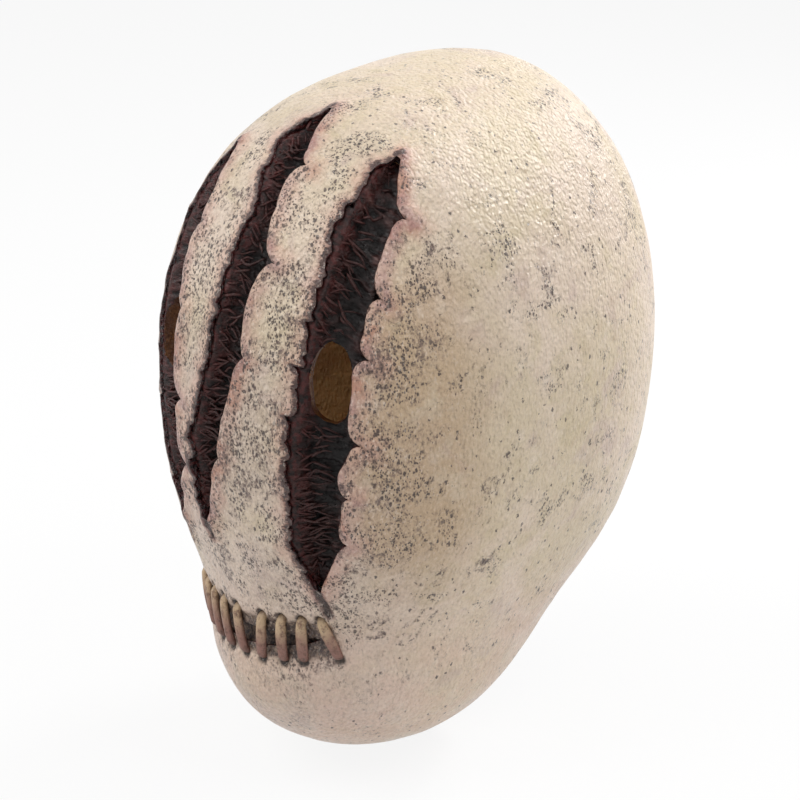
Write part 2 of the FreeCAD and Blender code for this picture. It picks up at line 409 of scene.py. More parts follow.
def level_of_lean(lean):
    points, _ = skin_at(0.0, lean)
    return float(sheet_place(points[None])[1][0])


def column_lines(levels, edges):
    """For each row, the columns that the grid is built on: the sheet's sides and the two edges of each
    gash. Past its tips a gash's two lines open out, to the mouth below and over the crown above."""
    mouth_level = level_of_lean(MOUTH_LEAN)
    mouth_x = {"right": (-MOUTH_HALF[0], -20.0), "centre": (-6.0, 8.0), "left": (21.0, MOUTH_HALF[0])}
    lines = [levels * 0 - 1.0]
    for name in NAMES:
        lean, far, near = edges[name]
        for x, mouth in zip((far, near), mouth_x[name]):
            a, b = sheet_place(skin_at(x, lean)[0])
            a_mouth = sheet_place(skin_front(mouth, MOUTH_Z)[0][None])[0][0]
            side = -1 if x is far else 1
            order = np.argsort(b)
            b_line = np.concatenate([[-1.0, mouth_level], b[order], [b.max() + 0.09, 1.0]])
            spread = np.array([0.03, 0.06]) * side
            a_line = np.concatenate([[a_mouth, a_mouth], a[order], a[order][-1] + spread])
            lines.append(np.interp(levels, b_line, a_line))
    lines.append(levels * 0 + 1.0)
    return np.stack(lines, 1)


def column_shares():
    """(line number, share of the way to the next line) of every column."""
    shares = [banded(0, 1, OUT_COLUMNS, 6.0, 1.0)[:-1]]
    for number in range(1, 6):
        count = CUT_COLUMNS if number % 2 else GAP_COLUMNS
        shares.append(number + banded(0, 1, count)[:-1])
    shares.append(6 + banded(0, 1, OUT_COLUMNS, 1.0, 6.0))
    return np.concatenate(shares)


def line_column(number):
    """Index of the column that runs along a line."""
    return 0 if number == 0 else OUT_COLUMNS + (number // 2) * CUT_COLUMNS + ((number - 1) // 2) * GAP_COLUMNS


class HeadSheet:
    """The grid that the head's skin is built on, and the blocks of it that are cut away."""

    def __init__(self):
        self.edges = {name: gash_edges(GASHES[name], 11 + 7 * i) for i, name in enumerate(NAMES)}
        levels = row_levels()
        lines = column_lines(levels, self.edges)
        shares = column_shares()
        whole = np.minimum(np.floor(shares).astype(int), lines.shape[1] - 2)
        part = shares - whole
        self.a = lines[:, whole] * (1 - part) + lines[:, whole + 1] * part
        self.b = np.broadcast_to(levels[:, None], self.a.shape).copy()
        self.cuts = {}
        for i, name in enumerate(NAMES):
            lean, far, near = self.edges[name]
            level = sheet_place(skin_at((far + near) / 2, lean)[0])[1]
            rows = np.flatnonzero((levels > level.min() + 0.004) & (levels < level.max() - 0.004))
            self.cuts[name] = (rows[0], rows[-1], line_column(2 * i + 1), line_column(2 * i + 2))
        self.follow_mouth(levels)
        self.cut_mouth(levels, lines)
        self.quads_kept = np.ones((self.a.shape[0] - 1, self.a.shape[1] - 1), bool)
        for low, high, first, last in self.cuts.values():
            self.quads_kept[low:high, first:last] = False

    def follow_mouth(self, levels):
        """Bends the rows near the mouth so that they run along its middle line."""
        row = np.argmin(np.abs(levels - level_of_lean(MOUTH_LEAN)))
        points, _ = skin_along(np.zeros(3), sheet_direction(self.a[row], self.b[row], 0.0))
        x = np.clip(points[:, 0], -46.0, 46.0)
        wanted = sheet_place(skin_front(x, mouth_middle(x))[0])[1]
        shift = (wanted - levels[row]) * (1 - smooth(np.abs(points[:, 0]), 36.0, 60.0))
        self.b += (1 - smooth(np.abs(levels - levels[row]), 0.03, 0.16))[:, None] * shift[None]

    def cut_mouth(self, levels, lines):
        """Opens the rows at the mouth into a lens: a row's lift is the half height times the root of
        (1 - p * p), with p the share of the half length, and it fades over four half heights."""
        middle = level_of_lean(MOUTH_LEAN)
        half = level_of_lean(MOUTH_LEAN + MOUTH_LEAN_HALF) - level_of_lean(MOUTH_LEAN - MOUTH_LEAN_HALF)
        half = half / 2
        rows = np.flatnonzero(np.abs(levels - middle) <= half)
        low, high = rows[0], rows[-1]
        q = (levels - (levels[low] + levels[high]) / 2) / ((levels[high] - levels[low]) / 2)
        row = (low + high) // 2
        p = np.where(self.a[row] < 0, self.a[row] / lines[row, 1], self.a[row] / lines[row, 6])
        lens = np.maximum(np.sqrt(np.maximum(1 - p * p, 0.0)), 0.1)
        lens = np.maximum(lens, smooth(np.abs(p), 1.0, 1.5))
        reach = np.where(np.abs(q) < 1, np.abs(q), 1 - smooth(np.abs(q), 1.0, 4.0))
        self.b += (np.sign(q) * reach)[:, None] * (lens - 1)[None, :] * (levels[high] - levels[low]) / 2
        self.cuts["mouth"] = (low, high, line_column(1), line_column(6))

    def layer(self, depth):
        points, normals = skin_along(np.zeros(3), sheet_direction(self.a, self.b, depth))
        return points - normals * depth, normals


def nearest(points, targets):
    """Distance from each point to the nearest target, worked out in blocks."""
    flat = points.reshape(-1, 3)
    result = np.empty(len(flat))
    for first in range(0, len(flat), 4000):
        block = flat[first:first + 4000]
        square = (block ** 2).sum(1)[:, None] + (targets ** 2).sum(1)[None] - 2 * block @ targets.T
        result[first:first + 4000] = np.sqrt(np.maximum(square.min(1), 0.0))
    return result.reshape(points.shape[:-1])


def edge_points(edges, which):
    """Skin points along the far (1) or near (2) edges of all gashes, about 1 mm apart."""
    return np.concatenate([skin_at(edge[which][::2], edge[0][::2])[0] for edge in edges.values()])


def tail_points():
    """Skin points along the shallow groove that runs on below each gash."""
    tails = []
    for gash in GASHES.values():
        lean = np.linspace(gash["tail"], gash["lean"][0] + 1.0, 14)
        tails.append(skin_at(gash["middle"][0] + wander(lean, 3.0, 5) * 0.8, lean)[0])
    return np.concatenate(tails)


def mouth_middle(x):
    """Height of the mouth's middle line at a side offset."""
    return MOUTH_Z + MOUTH_TILT * x + MOUTH_CURL * (x / MOUTH_HALF[0]) ** 2


def stitch_holes():
    """(points, normals) of the upper holes and of the lower holes."""
    tops = np.array([top for top, _ in STITCHES])
    feet = np.array([foot for _, foot in STITCHES])
    upper = skin_front(tops, mouth_middle(tops) + STITCH_RISE)
    lower = skin_front(feet, mouth_middle(feet) - STITCH_RISE)
    return upper, lower


def head_skin(sheet, material):
    """The cast latex skin: outer and inner layers on one grid, joined round the gashes, the mouth and
    the neck's rim. The outer layer is pushed along its normal by the sum of the named reliefs."""
    points, normals = sheet.layer(0.0)
    inner, _ = sheet.layer(WALL)
    far = nearest(points, edge_points(sheet.edges, 1))
    near = nearest(points, edge_points(sheet.edges, 2))
    tail = nearest(points, tail_points())
    (tops, _), (feet, _) = stitch_holes()
    hole = np.minimum(nearest(points, tops), nearest(points, feet))
    rim = -((points - NECK_POINT) @ NECK_NORMAL)
    from_mouth = np.abs(points[..., 2] - mouth_middle(points[..., 0])) / STITCH_RISE
    facing = smooth(-points[..., 1], 20.0, 50.0)
    within = 1 - smooth(np.abs(points[..., 0]), 34.0, 41.0)
    in_mouth = (1 - smooth(from_mouth, 0.55, 1.15)) * within * facing

    swell = lumps(points, 26.0, 1) * 0.35 + lumps(points, 9.0, 2) * 0.16
    margin = np.exp(-np.minimum(far, near) / 9.0)
    swell += margin * (lumps(points, 6.0, 3) * 0.55 + lumps(points, 3.0, 4) * 0.2)
    lips = 1.25 * np.exp(-(near / 4.0) ** 2) + 0.55 * np.exp(-(far / 3.0) ** 2)
    groove = 1.5 * np.exp(-(tail / 1.5) ** 2) - 0.6 * np.exp(-((tail - 3.2) / 1.5) ** 2)
    seam = in_mouth * (1.5 + 0.7 * lumps(points * [1, 1, 0.5], 3.2, 6)) + 2.2 * np.exp(-(hole / 2.1) ** 2)
    crease_line = rim - 17.0 - 3.0 * lumps(points, 30.0, 7)
    crease = np.exp(-(crease_line / 1.3) ** 2) * smooth(lumps(points, 24.0, 8), -0.1, 0.35) * 0.7
    outer = points + normals * (swell + lips - groove - seam - crease)[..., None]

    work = Patchwork()
    zero = far * 0
    marks = {"far": far, "near": near, "tail": tail, "hole": hole, "mouth": in_mouth, "rim": rim}
    top = work.add(outer, inside=zero, cut=zero, **marks)
    under = work.add(inner, inside=zero + 1, cut=zero, **marks)
    work.skin(top, sheet.quads_kept)
    work.skin(under, sheet.quads_kept, flip=True)
    for name, (low, high, first, last) in sheet.cuts.items():
        rows, columns = block_loop(low, high, first, last)
        add_lip(work, name, rows, columns, outer, inner, normals, top, under, marks)
    work.hem(top, under)
    return work.make("latex_skin", material, ["head_shell"])


def block_loop(low, high, first, last):
    """Rows and columns of the grid points round a block, counterclockwise seen from outside."""
    up, across = np.arange(low, high), np.arange(first, last)
    rows = np.concatenate([across * 0 + low, up, across * 0 + high, up[::-1] + 1])
    columns = np.concatenate([across, up * 0 + last, across[::-1] + 1, up * 0 + first])
    return rows, columns


def marks_along(marks, rows, columns, grid):
    """A grid's marks, repeated on every row of a wall that runs along some of its points."""
    return {name: np.broadcast_to(values[rows, columns], grid.shape[:2]) for name, values in marks.items()}


def add_lip(work, name, rows, columns, outer, inner, normals, top, under, marks):
    """The wall of one cut. From the outer edge it rolls over by a quarter circle of the lip's radius,
    drops, and runs back to the inner edge. The near side of a gash has the thick lip."""
    start, end, normal = outer[rows, columns], inner[rows, columns], normals[rows, columns]
    tangent = unit(np.roll(start, -1, 0) - np.roll(start, 1, 0))
    into = unit(np.cross(normal, tangent))
    width = np.abs(start[:, 0] - np.interp(rows, *row_centre(rows, start[:, 0]))) * 2
    near_side = smooth(marks["far"][rows, columns] - marks["near"][rows, columns], -0.5, 0.5)
    thick = 0.5 if name == "mouth" else 0.45 + 1.1 * near_side
    radius = soften(np.minimum(thick, 0.16 * width + 0.12), 5, ends="wrap")
    depth = np.linalg.norm(start - end, axis=1)
    rough = lumps(start, 1.3, 21) * 0.35
    wall = []
    for turn in (30.0, 60.0, 90.0):
        sine, cosine = math.sin(math.radians(turn)), math.cos(math.radians(turn))
        wall.append(start + into * (radius * sine)[:, None] - normal * (radius * (1 - cosine))[:, None])
    for share in (0.45, 0.8):
        reach = radius * (1 - 0.5 * share) + rough
        wall.append(start + into * reach[:, None] - normal * (radius + (depth - radius) * share)[:, None])
    edge = 0.35 * (1 - near_side)
    cut = np.stack([edge + 0.15, edge + 0.4, edge * 0 + 0.9, edge * 0 + 1.0, edge * 0 + 1.0])
    wall = np.stack(wall)
    numbers = work.add(wall, inside=cut * 0, cut=cut, **marks_along(marks, rows, columns, wall))
    work.band([top[rows, columns], *numbers, under[rows, columns]])


def row_centre(rows, x):
    """Middle side offset of a cut at each of its rows."""
    levels = np.unique(rows)
    return levels, np.array([(x[rows == level].min() + x[rows == level].max()) / 2 for level in levels])


# ======== torn flesh ========

EYE_COLUMNS = 10
STRANDS = 240


def flesh_liner(name, edges, material):
    """The torn flesh behind one gash. Its margin lies under the skin. Behind the cut it slopes down
    from the frayed side into a trough, and carries strands: ridged noise drawn out across the cut,
    tilted by slow noise. The two outer ones have an oval eye hole."""
    gash = GASHES[name]
    leans = np.array(gash["lean"], float)
    lap_lean = math.degrees(GASH_LAP / CRANIUM["half"][1])
    lean = np.linspace(leans[0] - lap_lean, leans[-1] + lap_lean, 300)
    middle = soften(np.interp(lean, leans, gash["middle"]), 15)
    half = np.interp(lean, leans, gash["width"]) / 2
    side_columns = 22
    columns = 2 * side_columns + EYE_COLUMNS
    share = np.linspace(-1, 1, columns + 1)
    x = middle[:, None] + share[None] * (half + GASH_LAP)[:, None]
    cut_away = None
    if gash["eye"] is not None:
        eye_point, _ = skin_front(gash["eye"], EYE_Z)
        eye_lean = math.degrees(math.atan2(eye_point[2], -eye_point[1]))
        q = np.radians(lean - eye_lean) * np.hypot(eye_point[1], eye_point[2]) / EYE_HALF[1]
        oval = np.maximum(1 - np.abs(q) ** 2.3, 0.0) ** (1 / 2.3)
        reach = EYE_HALF[0] * np.maximum(oval, 0.12) * (1 + 0.06 * wander(lean, 2.5, 31))
        near_eye = 1 - smooth(np.abs(q), 1.0, 2.2)
        sides = x[:, [side_columns, side_columns + EYE_COLUMNS]]
        oval_sides = gash["eye"] + np.stack([-reach, reach], 1)
        sides = sides + (oval_sides - sides) * near_eye[:, None]
        left, right = sides[:, :1], sides[:, 1:]
        outer_share = np.linspace(0, 1, side_columns + 1)
        inner_share = np.linspace(0, 1, EYE_COLUMNS + 1)[1:-1]
        x = np.concatenate([x[:, :1] + (left - x[:, :1]) * outer_share,
                            left + (right - left) * inner_share,
                            right + (x[:, -1:] - right) * outer_share], 1)
        rows = np.flatnonzero(np.abs(q) < 1)
        cut_away = (rows[0], rows[-1], side_columns, side_columns + EYE_COLUMNS)
    points, normals = skin_at(x, lean[:, None])
    offset = (x - middle[:, None]) / np.maximum(half, 1.5)[:, None]
    edge_lean, far_edge, near_edge = edges
    inside = (smooth(x - np.interp(lean, edge_lean, far_edge)[:, None], -0.7, 0.25)
              * smooth(np.interp(lean, edge_lean, near_edge)[:, None] - x, -0.3, 0.8))
    full = np.clip(half / 8, 0.0, 1.0)[:, None]
    slope = 1 - smooth(offset, -1.05, 0.1)
    bowl = GASH_SINK * smooth(offset, -1.0, -0.1) * (1 - 0.35 * smooth(offset, 0.5, 1.0))
    along = np.radians(lean)[:, None] * CRANIUM["half"][1] + x * 0
    tilt = 2.6 * lumps(points, 11.0, 41) + 0.05 * (x - middle[:, None]) * lumps(points, 24.0, 42)
    strand = np.stack([x / 4.5, along + tilt, x * 0], -1)
    ridges = (1 - 2 * np.abs(lumps(strand, 1.5, 43))) * 0.9 + (1 - 2 * np.abs(lumps(strand, 0.8, 44))) * 0.4
    clumps = lumps(points, 5.0, 45) * 1.1 + lumps(points, 2.4, 46) * 0.5
    relief = ridges * 0.9 + clumps * (1 - 0.5 * slope)
    base = WALL + SEAT_GAP
    rise = 2.4 * slope ** 2 + 0.6 * slope
    depth = base + inside * full * (bowl - rise - relief)
    depth = np.maximum(depth, base * (1 - inside) + 0.9 * inside)
    bottom = np.maximum(base + GASH_SINK * full * np.maximum(1 - offset ** 2, 0.0) ** 2, depth) + LINER
    work = Patchwork()
    marks = {"depth": depth, "slope": slope * inside, "relief": relief}
    top = work.add(points - normals * depth[..., None], eye=depth * 0, **marks)
    under = work.add(points - normals * bottom[..., None], eye=depth * 0, **marks)
    kept = np.ones((top.shape[0] - 1, top.shape[1] - 1), bool)
    work.hem(top, under)
    if cut_away:
        low, high, first, last = cut_away
        kept[low:high, first:last] = False
        rows, columns = block_loop(*cut_away)
        upper, lower = np.concatenate(work.points)[[top[rows, columns], under[rows, columns]]]
        rim = np.stack([upper + (lower - upper) * step for step in (0.06, 0.3, 0.6, 0.94)])
        wall = work.add(rim, eye=np.ones(rim.shape[:2]), **marks_along(marks, rows, columns, rim))
        work.band([top[rows, columns], *wall, under[rows, columns]], flip=True)
    work.skin(top, kept)
    work.skin(under, kept, flip=True)
    return work.make("torn_flesh_" + name, material, ["gash_liner_" + name])


def flesh_strands(name, material, seed):
    """Torn strands that run from the frayed side of a gash across its trough, each a thin closed tube
    along a bent line: straight across, with a sag into the trough and a kink by noise."""
    gash = GASHES[name]
    leans = np.array(gash["lean"], float)
    draw = np.random.default_rng(seed)
    work = Patchwork()
    for _ in range(STRANDS):
        at = draw.uniform(leans[0] + 2, leans[-1] - 2)
        middle, half = np.interp(at, leans, gash["middle"]), np.interp(at, leans, gash["width"]) / 2
        start, length = draw.choice((-1.12, draw.uniform(-1.0, 0.0))), draw.uniform(0.35, 1.1)
        t = np.linspace(0, 1, 8)
        share = start + np.minimum(length, 0.8 - start) * t
        drift = draw.uniform(-4.5, 4.5) * t + draw.uniform(-1.0, 1.0) * np.sin(t * 5 + draw.uniform(0, 6))
        x = middle + share * half
        lean = at + drift * 0.6
        if gash["eye"] is not None:
            points, _ = skin_at(x, lean)
            aside, above = points[:, 0] - gash["eye"], points[:, 2] - EYE_Z
            clear = np.hypot(aside / (EYE_HALF[0] + 1), above / (EYE_HALF[1] + 1))
            if clear.min() < 1.0:
                continue
        points, normals = skin_at(x, lean)
        deep = draw.uniform(1.0, 2.4) + 3.0 * smooth(share, -1.1, 0.1) + 1.6 * t * draw.uniform(0, 1)
        width = draw.uniform(0.45, 1.05) * (0.35 + np.sin(math.pi * np.clip(t * 0.8 + 0.15, 0, 1)))
        add_tube(work, points - normals * deep[:, None], width, width * 0.8, normals, sides=5,
                 depth=deep, slope=1 - smooth(share, -1.0, 0.1), relief=t * 0 + 1.2, eye=t * 0)
    return work.make("flesh_strands_" + name, material)


# ======== mouth ========

def mouth_backing(material):
    """Backing behind the mouth's cut, painted dark as the shade inside the slit: a shallow trough under the
    skin, wrinkled up and down.
    """
    x = np.linspace(-1, 1, 71) * (MOUTH_HALF[0] + MOUTH_LAP)
    lens = np.sqrt(np.maximum(1 - (x / MOUTH_HALF[0]) ** 2, 0.0))
    rise = np.linspace(-1, 1, 17)[:, None] * (MOUTH_HALF[1] * lens + MOUTH_LAP)[None]
    points, normals = skin_front(x[None] + rise * 0, mouth_middle(x)[None] + rise)
    bowl = np.maximum(1 - (rise / (MOUTH_HALF[1] + MOUTH_LAP)) ** 2, 0.0) ** 2
    wrinkle = lumps(points * [1, 1, 0.3], 2.4, 61) * 0.5 * bowl
    depth = WALL + SEAT_GAP + MOUTH_SINK * lens * bowl + wrinkle
    work = Patchwork()
    top = work.add(points - normals * depth[..., None])
    under = work.add(points - normals * (WALL + SEAT_GAP + MOUTH_SINK + LINER))
    work.skin(top)
    work.skin(under, flip=True)
    work.hem(top, under)
    return work.make("mouth_backing", material, ["mouth_liner"])


def stitch(number, material):
    """One stitch: a thick cord that comes out of its upper hole, lies over the mouth and goes into its
    lower hole, with a knot at each end inside. The path is a smooth curve by the angle from hole to
    hole, and the cord is flatter and wider over the mouth than in its holes."""
    (tops, top_normals), (feet, foot_normals) = stitch_holes()
    a, na, b, nb = tops[number], top_normals[number], feet[number], foot_normals[number]
    t = np.linspace(0, 1, 41)
    over = smooth(t, 0.14, 0.3) * (1 - smooth(t, 0.7, 0.86))
    go = 0.5 * smooth(t, 0.2, 0.8) + 0.5 * np.clip((t - 0.2) / 0.6, 0, 1)
    normal = unit(na + (nb - na) * go[:, None])
    lift = (WALL + SEAT_GAP + KNOT / 2) * (over - 1) - 0.7 * over
    crown = 0.7 * np.sin(math.pi * go)
    wobble = 0.35 * wander(t * 20 + 50 * number, 7.0, 71)
    across = unit(np.cross(normal, b - a))
    path = a + (b - a) * go[:, None] + normal * (lift + crown * over)[:, None] + across * wobble[:, None]
    knot = np.exp(-((t - 0.05) / 0.05) ** 2) + np.exp(-((t - 0.95) / 0.05) ** 2)
    width = STITCH_CORD * (0.95 + 0.3 * over * np.sin(math.pi * go)) + (KNOT - STITCH_CORD) * knot
    width = width * (1 + 0.05 * wander(t * 20 + 80 * number, 3.0, 72))
    thickness = STITCH_CORD * (0.95 - 0.15 * over) + (KNOT - STITCH_CORD) * knot
    work = Patchwork()
    add_tube(work, path, width, thickness, normal, sides=20, along=go)
    return work.make(f"stitch_{number + 1}", material, [f"mouth_stitch_{number + 1}"])


# ======== materials ========

class Value:
    """A shader socket, or a plain number, that Python's operators turn into Math nodes."""

    def __init__(self, shader, socket):
        self.shader, self.socket = shader, socket

    def math(self, operation, *others):
        values = dict(enumerate((self, *others)))
        return self.shader.node("ShaderNodeMath", {"operation": operation}, values)

    def __add__(self, other):
        return self.math("ADD", other)

    def __sub__(self, other):
        return self.math("SUBTRACT", other)

    def __rsub__(self, other):
        return self.shader.node("ShaderNodeMath", {"operation": "SUBTRACT"}, {0: other, 1: self})

    def __mul__(self, other):
        return self.math("MULTIPLY", other)

    def high(self, other):
        return self.math("MAXIMUM", other)

    def low(self, other):
        return self.math("MINIMUM", other)

    def step(self, low, high):
        """0 below low, 1 above high, smooth between; low above high turns it over."""
        values = {"Value": self, "From Min": low, "From Max": high, "To Min": 0.0, "To Max": 1.0}
        return self.shader.node("ShaderNodeMapRange", {"interpolation_type": "SMOOTHSTEP"}, values)

    __radd__, __rmul__ = __add__, __mul__


class Shader:
    """One material's node tree."""

    def __init__(self, name):
        self.material = bpy.data.materials.new(name)
        self.material.use_nodes = True
        self.tree = self.material.node_tree
        self.tree.nodes.clear()
        self.place = self.node("ShaderNodeTexCoord", output="Object")

    def node(self, kind, settings=None, values=None, output=0):
        made = self.tree.nodes.new(kind)
        for name, setting in (settings or {}).items():
            setattr(made, name, setting)
        for key, value in (values or {}).items():
            if isinstance(value, Value):
                self.tree.links.new(value.socket, made.inputs[key])
            elif isinstance(value, tuple) and len(value) == 3 and made.inputs[key].type == "RGBA":
                made.inputs[key].default_value = (*value, 1.0)
            else:
                made.inputs[key].default_value = value
        return Value(self, made.outputs[output])

    def mark(self, name):
        """A number that the mesh carries at each point."""
        return self.node("ShaderNodeAttribute", {"attribute_name": name}, output="Fac")

    def stretch(self, scale, turn=(0.0, 0.0, 0.0)):
        values = {"Vector": self.place, "Scale": scale, "Rotation": turn}
        return self.node("ShaderNodeMapping", {}, values)

    def noise(self, size, detail=4.0, rough=0.55, place=None, warp=0.0):
        """Noise from 0 to 1 whose features are about size millimetres."""
        values = {"Vector": place or self.place, "Scale": 1 / (size * MM), "Detail": detail,
                  "Roughness": rough, "Distortion": warp}
        return self.node("ShaderNodeTexNoise", {}, values, "Fac")

    def ragged(self, mark, amount, *noise):
        """A mark moved up or down by as much as half the amount, by noise."""
        return mark + self.noise(*noise) * amount - amount / 2

    def cells(self, size, feature="F1", place=None, random=1.0):
        """Distance to the nearest of scattered points about size millimetres apart, in those units."""
        values = {"Vector": place or self.place, "Scale": 1 / (size * MM), "Randomness": random}
        return self.node("ShaderNodeTexVoronoi", {"feature": feature}, values, "Distance")

    def mix(self, share, first, second):
        settings = {"data_type": "RGBA", "clamp_factor": True}
        return self.node("ShaderNodeMix", settings, {"Factor": share, 6: first, 7: second}, 2)

    def coat(self, share, red, green, blue):
        """Lays a colour, in screen levels, over what is painted already, as far as share says."""
        self.colour = self.mix(share, self.colour, tint(red, green, blue))

    def bump(self, height, distance):
        return self.node("ShaderNodeBump", {}, {"Height": height, "Distance": distance * MM, "Strength": 1.0})

    def show(self, surface):
        """Puts a surface on the material, and returns the material."""
        output = self.tree.nodes.new("ShaderNodeOutputMaterial")
        self.tree.links.new(surface.socket, output.inputs[0])
        return self.material

    def finish(self, roughness, normal, specular=0.5):
        values = {"Base Color": self.colour, "Roughness": roughness, "Normal": normal}
        values["Specular IOR Level"] = specular
        return self.show(self.node("ShaderNodeBsdfPrincipled", {}, values))


def tint(red, green, blue):
    """A colour given as screen levels from 0 to 255, made linear."""
    levels = np.array([red, green, blue]) / 255
    linear = np.where(levels <= 0.04045, levels / 12.92, ((levels + 0.055) / 1.055) ** 2.4)
    return tuple(float(level) for level in linear)


def latex_material():
    """Painted cast latex: mottled cream, bruised and stained round the cuts, with spattered dark specks.
    The inner side and the rim are raw latex, and the walls of the cuts are dark."""
    s = Shader("painted latex")
    far, near, tail, hole = s.mark("far"), s.mark("near"), s.mark("tail"), s.mark("hole")
    mouth, rim, inside, cut = s.mark("mouth"), s.mark("rim"), s.mark("inside"), s.mark("cut")
    axes = s.tree.nodes.new("ShaderNodeSeparateXYZ")
    s.tree.links.new(s.place.socket, axes.inputs[0])
    x, y, z = (Value(s, axes.outputs[i]) * 1000.0 for i in range(3))

    broad, middling = s.noise(46, 3, 0.5, warp=0.5), s.noise(19, 4, 0.6, warp=0.8)
    small, grain = s.noise(7, 4, 0.6), s.noise(1.6, 3, 0.6)
    s.colour = s.mix(broad.step(0.36, 0.62), tint(228, 208, 188), tint(218, 200, 172))
    s.coat(middling.step(0.5, 0.72) * 0.6, 205, 188, 152)
    s.coat(middling.step(0.46, 0.28) * 0.5, 198, 172, 164)
    s.coat(small.step(0.52, 0.75) * 0.45, 238, 222, 206)
    s.coat(small.step(0.44, 0.25) * 0.4, 186, 160, 134)

    # Greyish patches on the face's front below the brow: partly mottled tone, partly painted shade on the
    # side that gets less light.
    front_tone_and_shade = y.step(-35.0, -80.0) * z.step(85.0, 45.0) * s.noise(30, 3).step(0.2, 0.6)
    s.coat(front_tone_and_shade * 0.45, 196, 174, 164)
    chin = z.step(-25.0, -75.0) * middling.step(0.3, 0.6)
    s.coat(chin * 0.45, 220, 186, 172)
    # A brown patch beside the eye: partly a brown wash, partly painted shade.
    beside_eye_wash_and_shade = x.step(50.0, 58.0) * y.step(-22.0, -58.0) * z.step(-55.0, 0.0) * z.step(112.0, 85.0)
    s.coat(beside_eye_wash_and_shade * s.noise(14, 5, 0.65).step(0.25, 0.55) * 0.75, 190, 160, 126)
    edge = far.low(near)
    bruise = s.ragged(edge, 14.0, 8, 4, 0.6).step(9.0, 0.0)
    s.coat(bruise * 0.55, 204, 156, 140)
    rust = s.ragged(near, 12.0, 6, 4, 0.6).step(6.0, 0.0)
    rust = rust * s.noise(16, 3, warp=0.5).step(0.5, 0.6)
    s.coat(rust * 0.6, 176, 112, 88)
    purple = s.ragged(near, 9.0, 5, 4, 0.6).step(4.5, 0.0) * s.noise(12, 3).step(0.4, 0.62)
    s.coat(purple * 0.5, 150, 108, 116)
    brown = s.ragged(far, 6.0, 3, 4, 0.65).step(2.8, 0.0)
    s.coat(brown * 0.75, 122, 70, 56)
    fringe = s.noise(1.1, 3, 0.6, s.stretch((0.22, 0.22, 1.0)))
    s.coat((far + 1.6 - fringe * 5.4).step(0.6, -0.3), 58, 25, 24)
    groove = s.ragged(tail, 1.6, 2.5, 3)
    s.coat(groove.step(3.6, 1.6) * 0.65, 124, 84, 80)
    s.coat(groove.step(2.2, 1.1) * 0.95, 38, 20, 22)

    # Darker band over the mouth's recess: partly soiling, partly painted shade where the recess between the
    # stitches lies in shadow.
    mouth_soil_and_shade = (mouth * 1.3 + s.noise(4, 4, 0.6) * 0.9 - 0.55).step(0.1, 0.9)
    grime_and_shade_colour = s.mix(s.noise(1.6, 4, 0.7).step(0.42, 0.6), tint(70, 54, 52), tint(134, 110, 92))
    s.colour = s.mix(mouth_soil_and_shade * 0.85, s.colour, grime_and_shade_colour)
    # Near-black patches in the middle of the mouth: painted shade in the recess.
    mouth_recess_shade = s.ragged(mouth, 0.5, 2.4, 4).step(0.5, 0.9) * s.noise(2.0, 4, 0.7).step(0.4, 0.58)
    s.coat(mouth_recess_shade * 0.85, 36, 26, 28)
    # Near black round each stitch hole: painted shade for the holes, which the skin only dimples.
    s.coat(s.ragged(hole, 1.6, 2, 3).step(3.2, 1.6), 24, 14, 14)

    dense = near.low(far).step(26.0, 4.0) * 0.7 + y.step(-40.0, -85.0) * 0.8 + beside_eye_wash_and_shade * 0.2
    cluster = (s.noise(14, 4, 0.6, warp=0.6) + dense * 0.085).step(0.55, 0.66)
    blotch = (s.noise(9, 5, 0.7, warp=0.6) + s.noise(34, 2) * 0.5 + dense * 0.05).step(0.86, 0.98)
    jitter = s.noise(0.9, 3, 0.7) * 0.7 - 0.35
    drawn_out = s.stretch((1.0, 1.0, 0.62), (0.0, math.radians(35), 0.0))
    specks = (s.cells(2.1, place=drawn_out) + jitter).step(0.32, 0.22)
    dust = (s.cells(0.95, place=drawn_out) + jitter).step(0.36, 0.24)
    spatter = specks.high(dust) * cluster.high(blotch) * (z.step(-64.0, -78.0) * -0.75 + 1.0)
    stray = (s.cells(3.6, place=drawn_out) + jitter).step(0.17, 0.1) * s.noise(20, 2).step(0.4, 0.5)
    s.coat(spatter.high(stray) * 0.9, 44, 31, 34)
    smudge = s.noise(1.3, 4, 0.75, drawn_out)
    s.coat(smudge.step(0.4, 0.6) * blotch * 0.75, 84, 66, 66)
    s.coat(smudge.step(0.5, 0.68) * (cluster * 0.45 + dense * 0.14 + 0.2), 96, 74, 68)
    s.coat(smudge.step(0.46, 0.3) * (dense * 0.25 + 0.2), 240, 226, 212)
    s.coat(grain.step(0.3, 0.8) * 0.22, 150, 128, 108)

    raw = inside.high(s.ragged(rim, 5.0, 9, 4).step(4.2, 2.0))
    rubber = s.mix(s.noise(22, 4, 0.6).step(0.35, 0.7), tint(206, 160, 98), tint(178, 126, 70))
    s.colour = s.mix(raw, s.colour, rubber)
    wall = s.mix(fringe.step(0.4, 0.6), tint(28, 11, 12), tint(78, 32, 31))
    s.colour = s.mix(s.ragged(cut, 0.5, 2.2, 3).step(0.45, 0.85), s.colour, wall)

    roughness = middling.step(0.3, 0.7) * 0.1 + 0.28 + raw * 0.24 - cut.step(0.4, 0.9) * 0.14
    streak = s.noise(2.2, 4, 0.65, drawn_out)
    pits = s.cells(1.3, "SMOOTH_F1", place=drawn_out).step(0.12, 0.6)
    height = s.noise(0.9, 3, 0.65) * 0.5 + pits * 0.45 + streak * 0.9 + s.noise(5, 3) * 1.1
    height = height - spatter * 0.3
    return s.finish(roughness, s.bump(height, 0.85))


